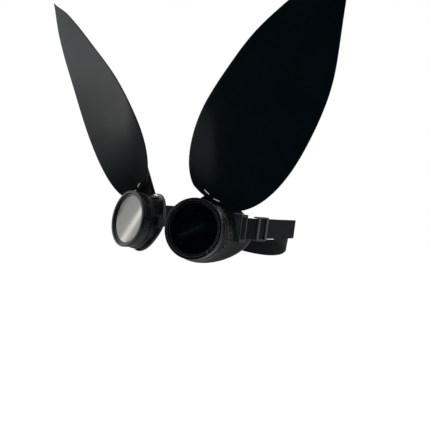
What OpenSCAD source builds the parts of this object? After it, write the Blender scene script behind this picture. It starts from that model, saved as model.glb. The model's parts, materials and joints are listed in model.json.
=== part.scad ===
// Round eyecup goggles with a pair of tall leaf-shaped ears and an elastic head strap.
// Millimetres. +X is the wearer's left, -Y is the front, +Z is up.
// The origin is the middle of the nose bridge's rear face, where the goggles rest on the nose.

/* [Lens rings] */
// Distance between the centres of the two ring faces
ring_spacing = 85.5; // [82:0.5:92]
// Angle that each cup turns outward from straight ahead
cup_splay = 13.6; // [10:0.1:17]
// Outer radius of the screwed lens ring
ring_r = 29; // [28.8:0.1:30.5]
// Length of the lens ring along the cup's axis
ring_len = 12; // [11:0.1:14]
// Radius of the ring's open mouth in front of the lens
mouth_r = 26.2; // [25.2:0.1:26.2]
// Depth of the ring's mouth down to its lip
mouth_depth = 1.5; // [1.2:0.1:2.5]
// Radius of the opening in the lip that holds the lens
lip_r = 24.3; // [22.5:0.1:24.4]
// Thickness of the lip that holds the lens
lip_t = 0.8; // [0.8:0.1:1.6]
// Radius of the ring's bore that screws over the cup
ring_bore_r = 26.3; // [26:0.1:26.8]
// Number of grip ridges round the ring
ridges = 120; // [36:4:160]
// Height of one grip ridge
ridge_h = 0.25; // [0.15:0.05:0.6]

/* [Lenses] */
// Diameter of the round lens
lens_d = 50; // [49:0.1:51]
// Thickness of the lens
lens_t = 2.5; // [2:0.1:3]
// Thickness of the rubber gasket behind the lens
gasket_t = 1; // [0.6:0.1:1.4]
// Width of the gasket's flat band
gasket_w = 2.4; // [1.6:0.1:3]

/* [Eye cups] */
// Radius of the cup where its flare starts, just behind the ring
flare_r = 28.2; // [27.8:0.1:28.6]
// Thickness of the cup's wall
wall = 2; // [1.5:0.1:2.4]
// Reach of the rear rim towards the temple, from the ring's axis
rim_temple = 43; // [40:0.1:44]
// Reach of the rear rim towards the nose, from the ring's axis
rim_nose = 28; // [26.5:0.1:28.4]
// Height of the rear rim above the ring's axis
rim_half_h = 32.5; // [31:0.1:35]
// Height of the rear rim below the ring's axis
rim_low_h = 30.4; // [28:0.1:33]
// Depth of the rear rim at the temple, behind the ring's face
rim_temple_depth = 42.5; // [41:0.1:44]
// Depth of the rear rim at the brow, behind the ring's face
rim_brow_depth = 36; // [34:0.1:38]
// Depth of the rear rim at the nose, behind the ring's face
rim_nose_depth = 24.5; // [24.5:0.1:31]
// Depth of the rear rim at the cheek, behind the ring's face
rim_cheek_depth = 18.5; // [18:0.1:36]
// Width of the soft seal on the rear rim
seal_w = 3.2; // [2:0.1:4]
// Number of small vent holes in one column of the vent panel
vent_count = 4; // [2:1:5]

/* [Nose bridge] */
// Distance of a bridge pin from its ring's axis, towards the nose
pin_out = 32.5; // [31.8:0.1:33]
// Distance of a bridge pin behind its ring's face
pin_back = 20; // [18:0.1:22]
// Radius of a bridge pin
pin_r = 1.2; // [1:0.05:1.4]
// Height of the flexible link between the pins
link_h = 7.5; // [6:0.1:9]
// Thickness of the flexible link between its two eyes
link_t = 2.4; // [2:0.1:3]
// Height of the link's middle above the lens centres
bridge_rise = 1.75; // [0:0.05:3]

/* [Ears] */
// Length of an ear from its rounded bottom to its tip
ear_len = 250; // [180:1:280]
// Greatest width of an ear
ear_w = 99.6; // [70:0.1:110]
// Thickness of the ear's sheet
ear_t = 1.4; // [1:0.1:2]
// Angle that an ear tips forward from upright
ear_pitch = 22; // [20:0.5:24]
// Angle that an ear leans outward from upright
ear_lean = 28.6; // [27:0.2:30]
// Diameter of the staple wire
staple_d = 1.1; // [0.8:0.05:1.3]
// Length of one staple's crown
staple_len = 6.3; // [5:0.1:7.5]

/* [Strap] */
// Width of the strap's webbing
web_w = 20; // [18:0.5:21]
// Thickness of the strap's webbing
web_t = 1.2; // [0.9:0.05:1.4]
// Angle that the strap climbs from the cup towards the back
strap_rise = 7.5; // [5:0.5:10]
// Length of the strap slide
slide_len = 19.5; // [18:0.5:26]
// Length of the loose strap end behind the slide
tail_len = 62; // [40:1:80]
// Distance of the strap's back from the nose bridge
head_depth = 184; // [165:1:200]

/* [Hidden] */
black = [0.03, 0.03, 0.03];
dark = [0.07, 0.07, 0.07];
$fn = 96;
overrun = 1;            // how far every cut runs past its part
fit_gap = 0.05;         // running clearance of a round fit

// Lens ring: its front bead, groove, second lip and rear edge
bead_w = 1.5;
groove_w = 1.1;
groove_d = 0.8;
second_lip_w = 1;
second_lip_drop = 0.1;
rear_edge_w = 1;
rear_edge_h = 0.3;
bevel = 0.35;
ridge_sink = 0.15;      // how far a ridge's valleys lie under the ring's side
seat_gap = 0.05;        // gap between the lip and the lens
ring_side_r = ring_r - groove_d;
ridge_from = bead_w + groove_w + second_lip_w;
ridge_to = ring_len - rear_edge_w;

// Stack behind the ring's lip: lens, gasket, then the cup's spigot
thread_lead = 1.5;      // advance of the lens ring in one turn
thread_gap = 0.1;
lens_r = lens_d / 2;
lens_from = mouth_depth + lip_t + seat_gap;
gasket_from = lens_from + lens_t;
spigot_from = gasket_from + gasket_t;
spigot_r = ring_bore_r - thread_gap;
spigot_in_r = lens_r - gasket_w;
ring_gap = 0.3;         // gap between the ring's rear edge and the cup's bead
cup_bead_w = 2;
cup_bead_h = 0.8;
cup_bead_from = ring_len + ring_gap;
flare_from = cup_bead_from + cup_bead_w;

// Flare: round at its front and oval at its rim, which lies deepest at the temple and is
// cut back at the nose and at the cheek, where it also leans towards the nose
flare_rows = 8;
flare_sides = 48;
flare_curve_share = 1.6;
core_extra_rows = 3;
slope_share = 0.05;     // step along the flare over which its slope is taken
flare_bite = 0.6;       // how far the flare's front sits inside the bead
flare_start = flare_from - flare_bite;
rim_a = (rim_temple + rim_nose) / 2;
rim_shift = (rim_temple - rim_nose) / 2;
rim_tilt = rim_temple_depth - rim_brow_depth;
nose_cut = rim_brow_depth - rim_tilt - rim_nose_depth;
cheek_cut = rim_brow_depth - rim_cheek_depth;
cheek_lean = 8;
cheek_curve_share = 1.2;

// Rim seal: section as reach past the wall and depth behind the rim
seal_swell = 0.5;
seal_round = 0.9;
seal_gap = 0.02;

// Vent panel on the temple side and its small blind vents
panel_h = 0.8;
panel_bite = 0.6;
panel_rows = 6;
panel_cols = 10;
panel_from_share = 0.08;
panel_to_share = 0.47;
panel_angle = 44;
panel_round_share = 0.4;
panel_end_share = 0.04;
vent_r = 0.9;
vent_depth = 1.6;
vent_step = 17;
vent_row_shares = [0.15, 0.235, 0.32];

// Strap lug: three bars on a flange that stands off the temple wall, with a sloping skirt in front
lug_inset = 4.4;
lug_lead = 13.5;
lug_out = rim_temple - lug_inset;
lug_back = rim_temple_depth - lug_lead;
lug_up = 8.8;
lug_turn = 35.6;
bar_w = 1.6;
slot_w = 1.5;
skirt_t = 0.8;
skirt_lead = 5.5;
skirt_fall = 4.2;
flange_t = 1.8;
bar_drop = 0.6;         // how much lower the middle bar's outer face lies
rail_h = 2.5;
rail_depth = 18;        // reach of the lug's rails, cut off inside the cup's wall
rail_end_share = 0.2;   // how far back a rail's inner end reaches, which clears the seal
lug_side_gap = 0.6;     // side clearance of the webbing in the lug
lug_half = bar_w * 1.5 + slot_w;
lug_in_half = web_w / 2 + lug_side_gap;

// Webbing: two layers under the rear bar, one turned round the middle bar
layer_gap = 0.1;
under_gap = 0.25;
outer_v = -flange_t / 2 - under_gap - web_t / 2;
inner_v = outer_v - web_t - layer_gap;
mid_v = (outer_v + inner_v) / 2;
over_v = flange_t / 2 - bar_drop + under_gap / 2 + web_t / 2;
slot_u = (bar_w + slot_w) / 2;
loop_round = web_t * 0.7;
loop_corner = web_t * 0.42;
lug_reach = 15.2;       // how far the webbing follows the flange before it turns back
layer_half = (web_t + layer_gap) / 2;
stack_half = web_t + layer_gap / 2;

// Strap slide: two outer bars over the webbing and a middle bar under it
slide_lead = 1.2;
slide_bar_w = 4;
slide_bar_t = 1.7;
slide_rail_h = 1.4;
slide_gap = 0.3;
slide_bevel = 0.5;
slide_in = stack_half + slide_gap;
slide_out = slide_in + slide_bar_t;
slide_in_half = web_w / 2 + slide_gap;
seam_at = slide_lead + slide_len / 2;
seam_gap = 0.1;

// Head strap: straight behind the slide, then an oval that sinks towards the back,
// rolled at its ends as the webbing in the lug is
head_stations = 18;
head_roll = asin(sin(cup_splay) * sin(strap_rise));
head_straight = 28;
head_drop = 17.7;
head_drop_share = 1.5;

// Bridge: pins, flexible link and the forked lugs on the cups
pin_x = ring_spacing / 2 - pin_out * cos(cup_splay) - pin_back * sin(cup_splay);
pin_y = pin_back * cos(cup_splay) - pin_out * sin(cup_splay);
nose_setback = pin_y + link_t / 2;
boss_wall = 1.4;
boss_r = pin_r + boss_wall;
prong_t = 1.9;
prong_gap = 0.15;
prong_root_lead = 4;
prong_root_bite = 1.8;
prong_from = link_h / 2 + prong_gap;
pin_head_reach = 0.7;
pin_head_r = pin_r + pin_head_reach;
pin_head_h = 0.9;
pin_head_gap = 0.05;

// Ear: frame of its flat blade in the cup's frame, outline and nasal fold
ear_out = 5.8;
ear_lead = 0.8;
ear_sink = 1.5;
ear_at = [ear_out, flare_from - ear_lead, flare_r - ear_sink];
ear_up = [sin(ear_lean), -sin(ear_pitch) * cos(ear_lean), cos(ear_pitch) * cos(ear_lean)];
ear_side = [cos(ear_lean), sin(ear_pitch) * sin(ear_lean), -cos(ear_pitch) * sin(ear_lean)];
ear_rear = [0, cos(ear_pitch), sin(ear_pitch)];
ear_root_share = 0.45;
ear_tip_share = 1.02;
ear_peak_share = ear_root_share / (ear_root_share + ear_tip_share);
ear_start_share = 0.012;
ear_end_share = 0.998;
ear_row_share = 1.5;
ear_rows = 24;
ear_cols = 12;
fold_start = [13, -1];
fold_end = [62, -30];
fold_low = 8;
fold_high = 78;
fold_share = 0.16;

// Ear bracket: upright leg behind the blade, knee, foot on the cup and a side web
bracket_t = 1.2;
bracket_gap = 0.05;
leg_points = [[-12, 8.5], [-6, 5], [0, 4.3], [8, 5.2], [11, 8], [9.5, 11], [-9, 11]];
leg_knee = [[-6, 5.2], [8, 5.4]];
web_top = [-30, 19];
web_low = [-3, 7];
web_clear = 0.8;
web_rear_share = 0.74;
web_rear_col = 13;
web_base_shares = [0.27, 0.19];
foot_rows = [1, 6];
foot_cols = [9, 16];
foot_gap = 0.04;

// Staples: place on the blade and turn of the crown; rivets: place on the cup's wall
staple_spots = [[-6.9, 8.15, -10], [5.1, 7.2, 11.3]];
staple_fold = 1.6;
staple_wire = 0.6;      // thickness of the flat staple wire
rivet_r = 1.2;
rivet_gap = 0.05;
rivet_head_r = 2.4;
rivet_head_h = 0.6;
rivet_petals = 6;
rivet_petal_r = 0.75;
rivet_burr_r = 1.9;
rivet_burr_h = 0.6;
rivet_burr_gap = 0.15;
rivet_spots = [[112.5, 0.52], [75, 0.4]];

// A point of the left cup's own frame (out, behind, up) in the goggles' frame
function from_cup(p) = [
    ring_spacing / 2 + p.x * cos(cup_splay) - p.y * sin(cup_splay),
    p.x * sin(cup_splay) + p.y * cos(cup_splay) - nose_setback,
    p.z - bridge_rise
];

// A point of the left lug's frame in the goggles' frame
function from_lug(p) = from_cup([
    lug_out + p.x,
    lug_back + p.y * cos(strap_rise) - p.z * sin(strap_rise),
    lug_up + p.y * sin(strap_rise) + p.z * cos(strap_rise)
]);

// A point of the flare: t runs from its front to its rim, angle from the temple upward
function flare_point(t, angle, inset) =
    let (
        s = pow(t, flare_curve_share),
        nasal = pow(min(cos(angle), 0), 2),
        low = pow(max(-sin(angle), 0), cheek_curve_share),
        a = flare_r + (rim_a - flare_r) * s - inset,
        b = flare_r + ((sin(angle) < 0 ? rim_low_h : rim_half_h) - flare_r) * s - inset,
        rim_y = rim_brow_depth + rim_tilt * cos(angle) - nose_cut * nasal - cheek_cut * low
    )
    [
        (rim_shift - cheek_lean * low) * s + a * cos(angle),
        flare_start + (rim_y - flare_start) * t,
        b * sin(angle)
    ];

// Slope of the flare's wall along the cup's axis
function flare_slope(t, angle) =
    let (
        p = flare_point(t - slope_share, angle, 0),
        q = flare_point(t + slope_share, angle, 0)
    )
    atan2(norm([q.x, q.z]) - norm([p.x, p.z]), q.y - p.y);

// A point of the lug's flange (u along it, v outward) in the lug's frame
function uv(u, v) = [
    u * sin(lug_turn) + v * cos(lug_turn),
    u * cos(lug_turn) - v * sin(lug_turn)
];

// Direction of the strap behind the cup, and the miter where the webbing turns into it
strap_dir = [sin(cup_splay), cos(cup_splay)];
strap_normal = [cos(cup_splay), -sin(cup_splay)];
flange_normal = uv(0, 1);
turn_miter = (flange_normal + strap_normal) / (1 + flange_normal * strap_normal);
function turn_point(k) = uv(lug_reach, mid_v) + k * turn_miter;

// Points on both sides of a path, as the outline of a ribbon of thickness t
function side_of(path, i, h) =
    let (
        last = len(path) - 1,
        a = path[max(i - 1, 0)],
        b = path[i],
        c = path[min(i + 1, last)],
        d1 = (i == 0) ? (c - b) / norm(c - b) : (b - a) / norm(b - a),
        d2 = (i == last) ? d1 : (c - b) / norm(c - b),
        n1 = [-d1.y, d1.x],
        n2 = [-d2.y, d2.x]
    )
    b + (n1 + n2) / (1 + n1 * n2) * h;
function ribbon(path, t) = concat(
    [for (i = [0 : len(path) - 1]) side_of(path, i, t / 2)],
    [for (i = [len(path) - 1 : -1 : 0]) side_of(path, i, -t / 2)]
);

// Faces between an outer and an inner grid of points, open round or closed round
function skin(ni, nj, closed) =
    let (
        w = closed ? nj : nj + 1,
        h = (ni + 1) * w
    )
    concat(
        [for (i = [0 : ni - 1]) for (j = [0 : nj - 1]) let (a = i * w + j, b = i * w + (j + 1) % w)
            each [
                [a, b, b + w], [a, b + w, a + w],
                [a + h, b + w + h, b + h], [a + h, a + w + h, b + w + h]
            ]
        ],
        [for (j = [0 : nj - 1]) let (a = j, b = (j + 1) % w, c = ni * w)
            each [
                [b, a, a + h], [b, a + h, b + h],
                [c + a, c + b, c + b + h], [c + a, c + b + h, c + a + h]
            ]
        ],
        [if (!closed) for (i = [0 : ni - 1]) let (a = i * w, b = i * w + nj)
            each [
                [a, a + w, a + w + h], [a, a + w + h, a + h],
                [b + w, b, b + h], [b + w, b + h, b + w + h]
            ]
        ]
    );

// Draws a left piece as it is and a right piece as its mirror image
module on_side(side) {
    if (side > 0) children();
    else mirror([1, 0, 0]) children();
}

// The cup's frame: x outward to the temple, y backwards along its axis, z up
module in_cup(side) {
    on_side(side)
        translate([ring_spacing / 2, -nose_setback, -bridge_rise])
        rotate([0, 0, cup_splay])
        children();
}

// Lays a shape that is drawn along z backwards along the cup's axis
module turned() {
    rotate([-90, 0, 0]) children();
}

// The lug's frame: x outward, y along the rising strap
module in_lug() {
    translate([lug_out, lug_back, lug_up]) rotate([strap_rise, 0, 0]) children();
}

// The blade's frame: x across the ear, y backwards through it, z along it
module in_blade() {
    translate(ear_at) rotate([ear_pitch, 0, 0]) rotate([0, ear_lean, 0]) children();
}

// A place on the outside of the flare, with z out of the wall
module on_wall(t, angle) {
    translate(flare_point(t, angle, 0))
        rotate([0, 90 - angle, 0])
        rotate([flare_slope(t, angle), 0, 0])
        children();
}

module lens_ring(side) {
    color(black) in_cup(side) turned() {
        rotate_extrude() polygon([
            [mouth_r + bevel, 0], [ring_r - bevel, 0], [ring_r, bevel], [ring_r, bead_w],
            [ring_side_r, bead_w], [ring_side_r, bead_w + groove_w],
            [ring_r - second_lip_drop, bead_w + groove_w], [ring_r - second_lip_drop, ridge_from],
            [ring_side_r, ridge_from], [ring_side_r, ridge_to],
            [ring_side_r + rear_edge_h, ridge_to], [ring_side_r + rear_edge_h, ring_len],
            [ring_bore_r, ring_len], [ring_bore_r, lens_from - seat_gap],
            [lip_r, lens_from - seat_gap], [lip_r, mouth_depth], [mouth_r, mouth_depth],
            [mouth_r, bevel]
        ]);
        translate([0, 0, ridge_from]) linear_extrude(ridge_to - ridge_from) difference() {
            polygon([for (i = [0 : 2 * ridges - 1])
                (ring_side_r + (i % 2 == 0 ? ridge_h : -ridge_sink))
                    * [cos(180 * i / ridges), sin(180 * i / ridges)]
            ]);
            circle(r = (ring_bore_r + ring_side_r) / 2);
        }
    }
}

module lens(side) {
    color([0.02, 0.05, 0.05, 0.6]) in_cup(side) turned() rotate_extrude() polygon([
        [0, lens_from], [lens_r - bevel, lens_from], [lens_r, lens_from + bevel],
        [lens_r, gasket_from - bevel], [lens_r - bevel, gasket_from], [0, gasket_from]
    ]);
}

module lens_gasket(side) {
    color(dark) in_cup(side) turned() translate([0, 0, gasket_from]) difference() {
        cylinder(r = lens_r, h = gasket_t);
        translate([0, 0, -overrun]) cylinder(r = lens_r - gasket_w, h = gasket_t + 2 * overrun);
    }
}

// Spigot for the lens ring, chamfered inside, and the bead behind it
module cup_front() {
    turned() rotate_extrude() polygon([
        [spigot_in_r, spigot_from], [spigot_r - bevel, spigot_from],
        [spigot_r, spigot_from + bevel], [spigot_r, cup_bead_from],
        [flare_r + cup_bead_h - bevel, cup_bead_from],
        [flare_r + cup_bead_h, cup_bead_from + bevel],
        [flare_r + cup_bead_h, flare_from - bevel],
        [flare_r + cup_bead_h - bevel, flare_from],
        [flare_r - wall - flare_bite, flare_from], [spigot_in_r, cup_bead_from - bevel]
    ]);
}

// Wall of the flare between two insets from its outer surface
module flare(outer_inset, inner_inset) {
    polyhedron(
        points = [for (inset = [outer_inset, inner_inset]) for (i = [0 : flare_rows])
            for (j = [0 : flare_sides - 1])
            flare_point(i / flare_rows, 360 * j / flare_sides, inset)
        ],
        faces = skin(flare_rows, flare_sides, true)
    );
}

// Solid core of the flare, inset from its outer surface and running on past the rim
module flare_core(inset) {
    w = flare_sides;
    last = flare_rows + core_extra_rows;
    polyhedron(
        points = [for (i = [0 : last]) for (j = [0 : w - 1])
            flare_point(i / flare_rows, 360 * j / w, inset)
        ],
        faces = concat(
            [for (i = [0 : last - 1]) for (j = [0 : w - 1]) let (a = i * w + j, b = i * w + (j + 1) % w)
                each [[a, b, b + w], [a, b + w, a + w]]
            ],
            [[for (j = [w - 1 : -1 : 0]) j]],
            [for (j = [1 : w - 2]) let (c = last * w) [c, c + j, c + j + 1]]
        )
    );
}

// Raised rounded panel on the temple side
module vent_panel() {
    polyhedron(
        points = [for (inset = [-panel_h, panel_bite]) for (i = [0 : panel_rows])
            let (
                x = panel_end_share + (1 - 2 * panel_end_share) * i / panel_rows,
                reach = panel_angle * pow(1 - pow(abs(2 * x - 1), 1 / panel_round_share), panel_round_share),
                t = panel_from_share + (panel_to_share - panel_from_share) * x
            )
            for (j = [0 : panel_cols]) flare_point(t, reach * (2 * j / panel_cols - 1), inset)
        ],
        faces = skin(panel_rows, panel_cols, false)
    );
}

module vents() {
    for (k = [0 : len(vent_row_shares) - 1]) {
        count = vent_count - (k + 1) % 2;
        for (i = [0 : count - 1])
            on_wall(vent_row_shares[k], (i - (count - 1) / 2) * vent_step)
                translate([0, 0, panel_h - vent_depth]) cylinder(r = vent_r, h = vent_depth + overrun);
    }
}

// Two prongs on the nasal wall, one above and one below the link
module bridge_prongs() {
    for (z = [bridge_rise + prong_from, bridge_rise - prong_from - prong_t])
        translate([0, 0, z]) linear_extrude(prong_t) {
            translate([-pin_out, pin_back]) circle(r = boss_r);
            polygon([
                [-flare_r + prong_root_bite, pin_back - prong_root_lead], [-pin_out, pin_back - boss_r],
                [-pin_out, pin_back + boss_r], [-flare_r + prong_root_bite, pin_back + boss_r]
            ]);
        }
}

// Flange with three bars and two slots, on a skirt and two rails that run into the wall
module strap_lug() {
    difference() {
        in_lug() rotate([0, 0, -lug_turn]) {
            for (k = [0, 1])
                translate([-flange_t / 2, k * (bar_w + slot_w) - bar_w / 2, -lug_in_half - rail_h / 2])
                cube([k == 0 ? flange_t - bar_drop : flange_t, bar_w, 2 * lug_in_half + rail_h]);
            translate([flange_t / 2, -lug_half, -lug_in_half - rail_h])
                linear_extrude(2 * (lug_in_half + rail_h))
                polygon([
                    [0, 0], [0, bar_w], [-rail_depth, skirt_t], [-rail_depth, -skirt_lead],
                    [-skirt_fall, -skirt_lead]
                ]);
            for (z = [-lug_in_half - rail_h, lug_in_half])
                translate([flange_t / 2, 0, z]) linear_extrude(rail_h) polygon([
                    [0, -lug_half], [0, lug_half], [-flange_t, lug_half],
                    [-rail_depth, lug_half * rail_end_share], [-rail_depth, -lug_half]
                ]);
        }
        flare_core(wall / 2);
    }
}

module eye_cup(side) {
    color(black) in_cup(side) difference() {
        union() {
            cup_front();
            flare(0, wall);
            vent_panel();
            bridge_prongs();
            strap_lug();
        }
        translate([-pin_out, pin_back, bridge_rise - prong_from - prong_t - overrun])
            cylinder(r = pin_r + fit_gap, h = 2 * (prong_from + prong_t + overrun));
        for (spot = rivet_spots)
            on_wall(spot[1], spot[0])
            translate([0, 0, -wall - overrun]) cylinder(r = rivet_r + rivet_gap, h = wall + 2 * overrun);
        vents();
    }
}

module rim_seal(side) {
    section = [
        [0, seal_gap], [seal_swell, seal_round], [seal_swell, seal_w - seal_round], [0, seal_w],
        [-wall, seal_w], [-wall - seal_swell, seal_w - seal_round],
        [-wall - seal_swell, seal_round], [-wall, seal_gap]
    ];
    m = len(section);
    n = flare_sides;
    color(dark) in_cup(side) polyhedron(
        points = [for (s = section) for (j = [0 : n - 1])
            flare_point(1, 360 * j / n, -s[0]) + [0, s[1], 0]
        ],
        faces = [for (i = [0 : m - 1]) for (j = [0 : n - 1])
            let (a = i * n + j, b = i * n + (j + 1) % n, c = (i + 1) % m * n + j, d = (i + 1) % m * n + (j + 1) % n)
            each [[a, b, c], [b, d, c]]
        ]
    );
}

module nose_link() {
    color(dark) translate([0, -link_t / 2, -link_h / 2]) linear_extrude(link_h) difference() {
        union() {
            for (side = [-1, 1]) translate([side * pin_x, 0]) circle(r = boss_r);
            square([2 * pin_x, link_t], center = true);
        }
        for (side = [-1, 1]) translate([side * pin_x, 0]) circle(r = pin_r);
    }
}

module bridge_pin(side) {
    reach = prong_from + prong_t + pin_head_gap;
    color("silver") translate([side * pin_x, -link_t / 2, 0]) rotate_extrude() polygon([
        [0, -reach - pin_head_h], [pin_head_r - bevel, -reach - pin_head_h],
        [pin_head_r, -reach - pin_head_h + bevel], [pin_head_r, -reach], [pin_r, -reach],
        [pin_r, reach], [pin_head_r, reach], [pin_head_r, reach + pin_head_h - bevel],
        [pin_head_r - bevel, reach + pin_head_h], [0, reach + pin_head_h]
    ]);
}

// Half width of the ear at a share of its length
function ear_half(s) =
    ear_w / 2 * pow(s / ear_peak_share, ear_root_share)
        * pow((1 - s) / (1 - ear_peak_share), ear_tip_share);

// How far the ear's nasal side bends back from the flat of the blade
function ear_bend(b, a) =
    let (
        along = (fold_end - fold_start) / norm(fold_end - fold_start),
        r = [a, b] - fold_start,
        past = along.y * r.x - along.x * r.y,
        rise = (a - fold_low) / (fold_high - fold_low)
    )
    fold_share * max(0, past) * (rise > 0 && rise < 1 ? sin(180 * rise) : 0);

// A point behind the ear's front face in the cup's frame
function blade_point(b, a, back) =
    ear_at + a * ear_up + b * ear_side + (back + ear_bend(b, a)) * ear_rear;

// A staple's own frame on the blade: x along its crown, y backwards through the ear
module at_staple(spot) {
    translate([spot[0], 0, spot[1]]) rotate([0, -spot[2], 0]) children();
}

// Slots for both legs of a staple, between two depths
module staple_slots(spot, from, to) {
    at_staple(spot) for (k = [-1, 1])
        translate([
            k * (staple_len - staple_wire) / 2 - staple_wire / 2 - fit_gap, from, -staple_d / 2 - fit_gap
        ])
        cube([staple_wire + 2 * fit_gap, to - from, staple_d + 2 * fit_gap]);
}

module ear(side) {
    color(black) in_cup(side) in_blade() difference() {
        polyhedron(
            points = [for (back = [ear_t, 0]) for (i = [0 : ear_rows])
                let (
                    s = ear_start_share
                        + (ear_end_share - ear_start_share) * pow(i / ear_rows, ear_row_share)
                )
                for (j = [0 : ear_cols])
                    let (b = ear_half(s) * (2 * j / ear_cols - 1), a = s * ear_len)
                    [b, back + ear_bend(b, a), a]
            ],
            faces = skin(ear_rows, ear_cols, false)
        );
        for (spot = staple_spots) staple_slots(spot, -overrun, ear_t + overrun);
    }
}

// A flat sheet with the given corners and a thickness along its normal
module sheet(corners, thick) {
    n = len(corners);
    raw = cross(corners[1] - corners[0], corners[2] - corners[0]);
    lift = raw / norm(raw) * thick;
    polyhedron(
        points = concat(corners, [for (p = corners) p + lift]),
        faces = concat(
            [[for (i = [0 : n - 1]) i]],
            [[for (i = [n - 1 : -1 : 0]) n + i]],
            [for (i = [0 : n - 1]) let (k = (i + 1) % n) each [[i, n + i, n + k], [i, n + k, k]]]
        )
    );
}

// Outer skin of the flare between two rows and two columns of its grid, as a curved plate
module wall_plate(rows, cols, gap, thick) {
    ni = rows[1] - rows[0];
    nj = cols[1] - cols[0];
    polyhedron(
        points = [for (inset = [-gap - thick, -gap]) for (i = [0 : ni]) for (j = [0 : nj])
            flare_point((rows[0] + i) / flare_rows, 360 * (cols[0] + j) / flare_sides, inset)
        ],
        faces = skin(ni, nj, false)
    );
}

module ear_bracket(side) {
    leg_at = ear_t + bracket_gap;
    low = blade_point(web_low[0], web_low[1], leg_at + bracket_t / 2);
    top = blade_point(web_top[0], web_top[1], leg_at + web_clear);
    rear = flare_point(web_rear_share, 360 * web_rear_col / flare_sides, -bracket_t);
    base = low + (rear - low) * web_base_shares[0] - (top - low) * web_base_shares[1];
    color(black) in_cup(side) difference() {
        union() {
            in_blade() translate([0, leg_at + bracket_t, 0]) rotate([90, 0, 0])
                linear_extrude(bracket_t) polygon(leg_points);
            difference() {
                union() {
                    hull() {
                        for (p = leg_knee) in_blade() translate([p[0], leg_at, p[1]])
                            cube([bracket_t / 2, bracket_t, bracket_t / 2]);
                        wall_plate([foot_rows[0], foot_rows[0] + 1], [foot_cols[0] + 1, foot_cols[1] - 2],
                            foot_gap, bracket_t);
                    }
                    sheet([low, top, rear, base], bracket_t);
                }
                flare_core(-foot_gap / 2);
            }
            wall_plate(foot_rows, foot_cols, foot_gap, bracket_t);
        }
        in_blade() for (spot = staple_spots) {
            staple_slots(spot, 0, leg_at + bracket_t + overrun);
            at_staple(spot) translate([-staple_len / 2 - fit_gap, leg_at + bracket_t, -staple_d / 2 - fit_gap])
                cube([staple_len + 2 * fit_gap, staple_wire + 3 * fit_gap, staple_d + 2 * fit_gap]);
        }
        for (spot = rivet_spots)
            on_wall(spot[1], spot[0])
            translate([0, 0, -overrun]) cylinder(r = rivet_r + rivet_gap, h = bracket_t + 3 * overrun);
    }
}

// Flat wire staples: crown on the ear's front, legs through ear and bracket, folded behind
module ear_staples(side) {
    front = -fit_gap - staple_wire / 2;
    back = ear_t + bracket_gap + bracket_t + fit_gap + staple_wire / 2;
    reach = (staple_len - staple_wire) / 2;
    color("silver") in_cup(side) in_blade() for (spot = staple_spots) at_staple(spot)
        translate([0, 0, -staple_d / 2]) linear_extrude(staple_d) polygon(ribbon([
            [-reach + staple_fold, back], [-reach, back], [-reach, front],
            [reach, front], [reach, back], [reach - staple_fold, back]
        ], staple_wire));
}

// Rivets with split petals outside and a burr inside the cup
module ear_rivets(side) {
    under = bracket_t + 2 * foot_gap + fit_gap;
    color("silver") in_cup(side) for (spot = rivet_spots) on_wall(spot[1], spot[0]) {
        translate([0, 0, -wall - rivet_burr_gap - rivet_burr_h]) {
            cylinder(r = rivet_r, h = wall + rivet_burr_gap + rivet_burr_h + under + rivet_head_h);
            cylinder(r = rivet_burr_r, h = rivet_burr_h);
        }
        translate([0, 0, under]) linear_extrude(rivet_head_h) {
            circle(r = rivet_head_r - rivet_petal_r);
            for (k = [0 : rivet_petals - 1]) rotate(360 * k / rivet_petals)
                translate([rivet_head_r - rivet_petal_r, 0]) circle(r = rivet_petal_r);
        }
    }
}

// Webbing that loops round the lug's middle bar, passes the slide and ends as the tail
module strap_end(side) {
    path = [
        turn_point(-layer_half) + strap_dir * seam_at,
        turn_point(-layer_half),
        uv(-slot_u + loop_round * 2, inner_v),
        uv(-slot_u + loop_round / 2, inner_v + loop_round / 2),
        uv(-slot_u, inner_v + loop_round * 2),
        uv(-slot_u, over_v - loop_corner),
        uv(-slot_u + loop_corner, over_v),
        uv(slot_u - loop_corner, over_v),
        uv(slot_u, over_v - loop_corner),
        uv(slot_u, outer_v + loop_round * 3 / 4),
        uv(slot_u + loop_round * 3 / 4, outer_v),
        turn_point(layer_half),
        turn_point(layer_half) + strap_dir * (slide_lead + slide_len + tail_len)
    ];
    color(dark) in_cup(side) in_lug() translate([0, 0, -web_w / 2])
        linear_extrude(web_w) polygon(ribbon(path, web_t));
}

// One bevelled bar or rail of the slide, as an outline
function bevelled(x0, x1, y0, y1, c) = [
    [x0 + c, y0], [x1 - c, y0], [x1, y0 + c], [x1, y1 - c], [x1 - c, y1], [x0 + c, y1],
    [x0, y1 - c], [x0, y0 + c]
];

module strap_slide(side) {
    at = turn_point(0) + strap_dir * slide_lead;
    mid = slide_len / 2;
    color(black) in_cup(side) in_lug() translate([at.x, at.y, 0]) rotate([0, 0, -cup_splay]) {
        for (z = [-slide_in_half - slide_rail_h, slide_in_half])
            translate([0, 0, z]) linear_extrude(slide_rail_h)
            polygon(bevelled(-slide_out, slide_out, 0, slide_len, slide_bevel * 2));
        translate([0, 0, -slide_in_half - slide_rail_h / 2])
            linear_extrude(2 * slide_in_half + slide_rail_h) {
                polygon(bevelled(slide_in, slide_out, 0, slide_bar_w, slide_bevel));
                polygon(bevelled(slide_in, slide_out, slide_len - slide_bar_w, slide_len, slide_bevel));
                polygon(bevelled(
                    -slide_out, -slide_in, mid - slide_bar_w / 2, mid + slide_bar_w / 2, slide_bevel
                ));
            }
    }
}

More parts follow.
